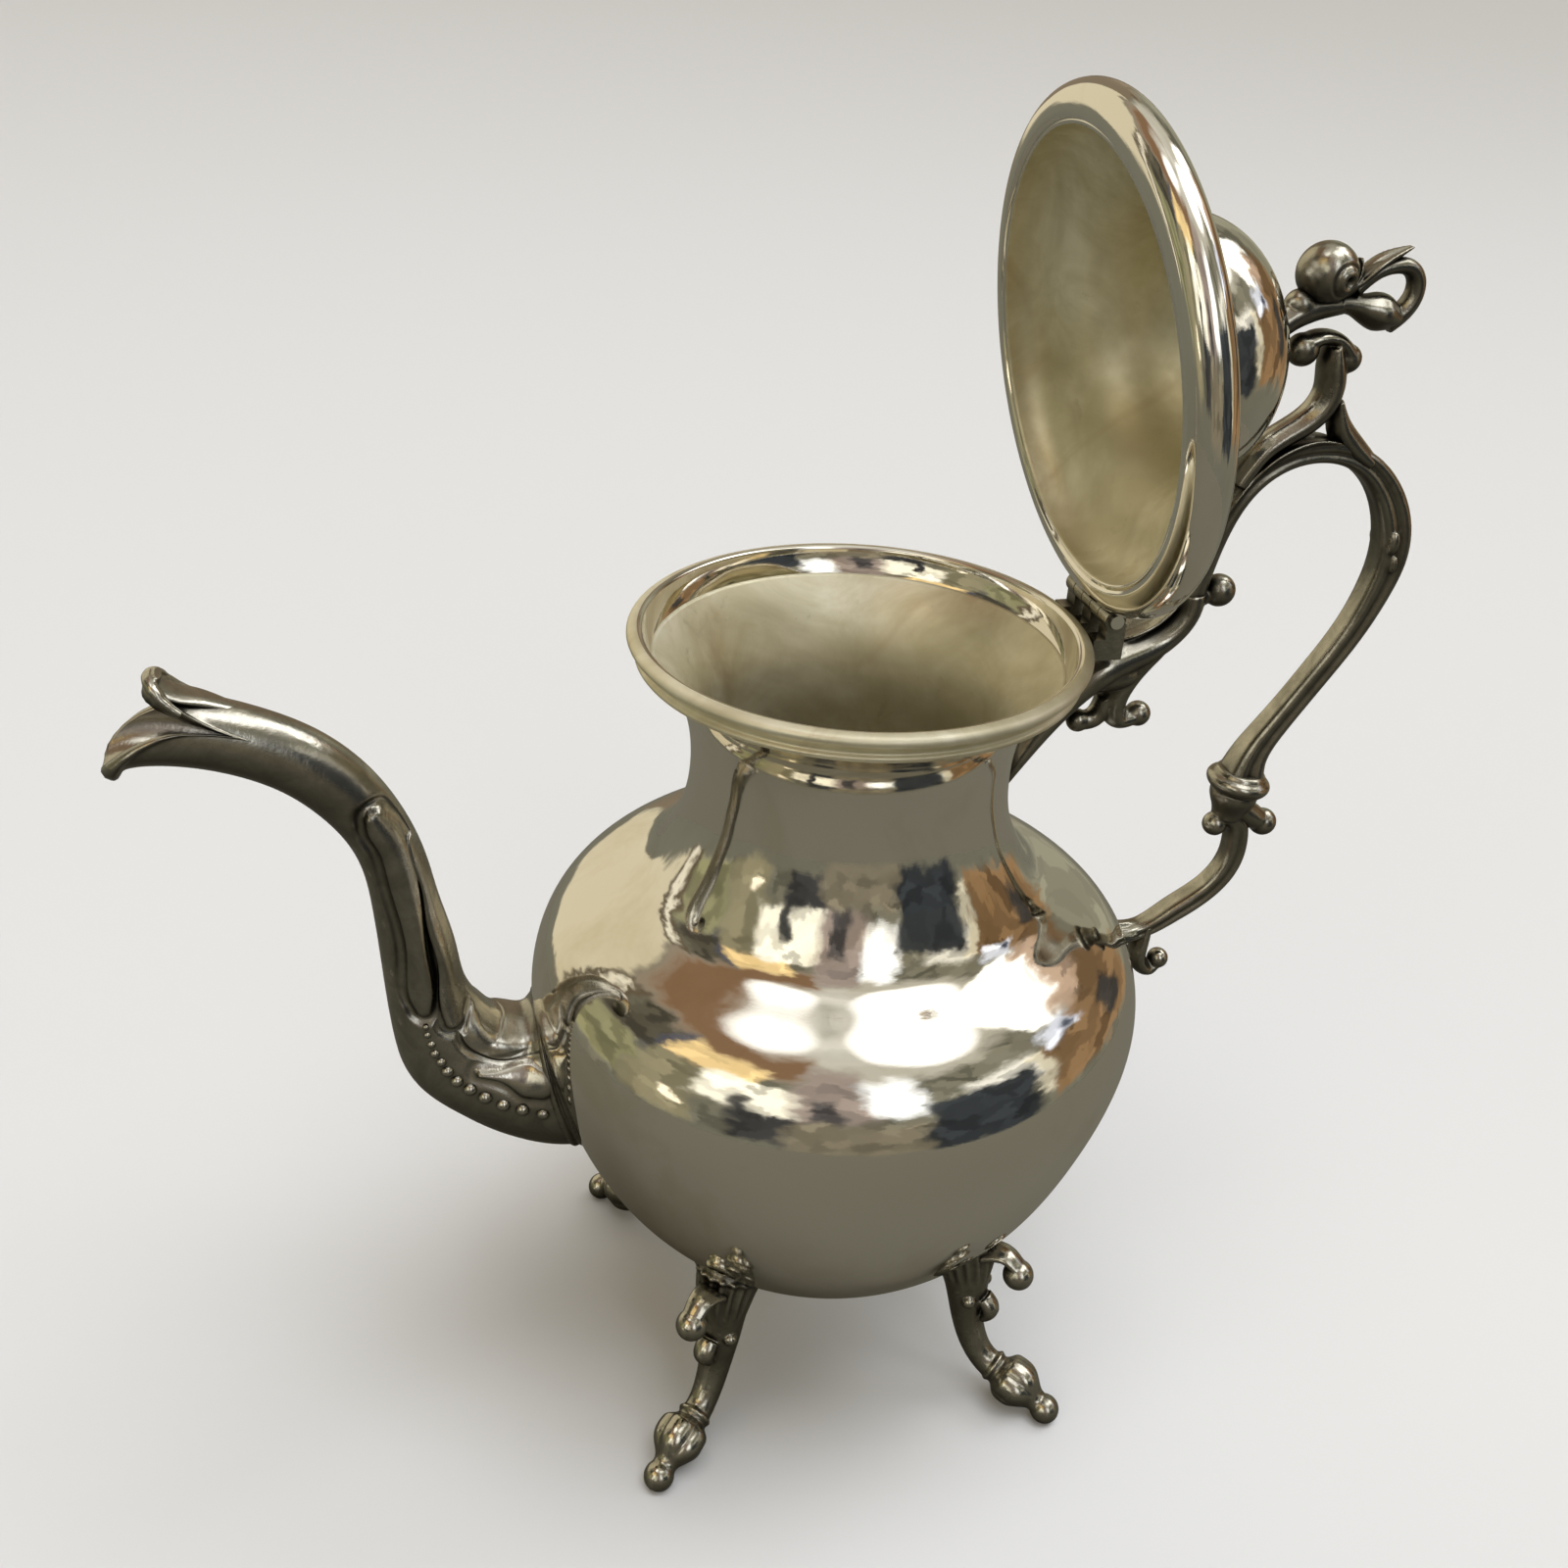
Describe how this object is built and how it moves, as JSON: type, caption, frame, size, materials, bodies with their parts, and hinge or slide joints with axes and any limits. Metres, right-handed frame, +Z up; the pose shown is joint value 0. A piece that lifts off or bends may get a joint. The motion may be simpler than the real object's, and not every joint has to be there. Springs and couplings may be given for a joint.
{
  "type": "coffee pot",
  "caption": "Silver baluster coffee pot on scroll feet, with a swan-neck spout, double-scroll handle and a hinged domed lid with a flower-bud finial, open.",
  "frame": {"origin": "on the table, under the middle of the pot's overall length and width; the body's own axis is the line x = 12.8 mm, y = 0", "axes": "+Z up out of the mouth, +X from the spout to the handle, +Y across the pot; the XZ plane is its mirror plane"},
  "size_m": [0.2746, 0.1392, 0.3017],
  "materials": {
    "silver": "polished silver plate with light tarnish",
    "old_silver": "cast silver plate, dark in the recesses and bright on the high points"
  },
  "bodies": {
    "pot": {"body_shell": "silver", "rim_moulding": "silver", "spout_half_left": "silver", "spout_half_right": "silver", "spout_collar": "old_silver", "spout_leaf_curl": "old_silver", "handle_bracket": "old_silver", "handle_grip": "old_silver", "handle_crest_leaf": "old_silver", "handle_thumb_scroll": "old_silver", "handle_collar": "silver", "handle_cup": "old_silver", "handle_lower_strut": "old_silver", "handle_lower_scroll": "old_silver", "hinge_knuckles_body": "old_silver", "hinge_pin": "silver", "foot_spout_left": "old_silver", "foot_spout_right": "old_silver", "foot_handle_left": "old_silver", "foot_handle_right": "old_silver", "foot_ball_spout_left": "silver", "foot_ball_spout_right": "silver", "foot_ball_handle_left": "silver", "foot_ball_handle_right": "silver"},
    "lid": {"hinge_knuckles_lid": "old_silver", "lid_shell": "silver", "lid_moulding": "silver", "finial_stem": "old_silver", "finial_bud": "silver", "finial_leaf": "old_silver", "finial_tendril": "old_silver"}
  },
  "joints": [
    {"name": "lid_hinge", "type": "hinge", "parent": "pot", "child": "lid", "pos_m": [0.0646, 0, 0.1993], "axis": [0, -1, 0], "range_deg": [0, 81.5]}
  ]
}
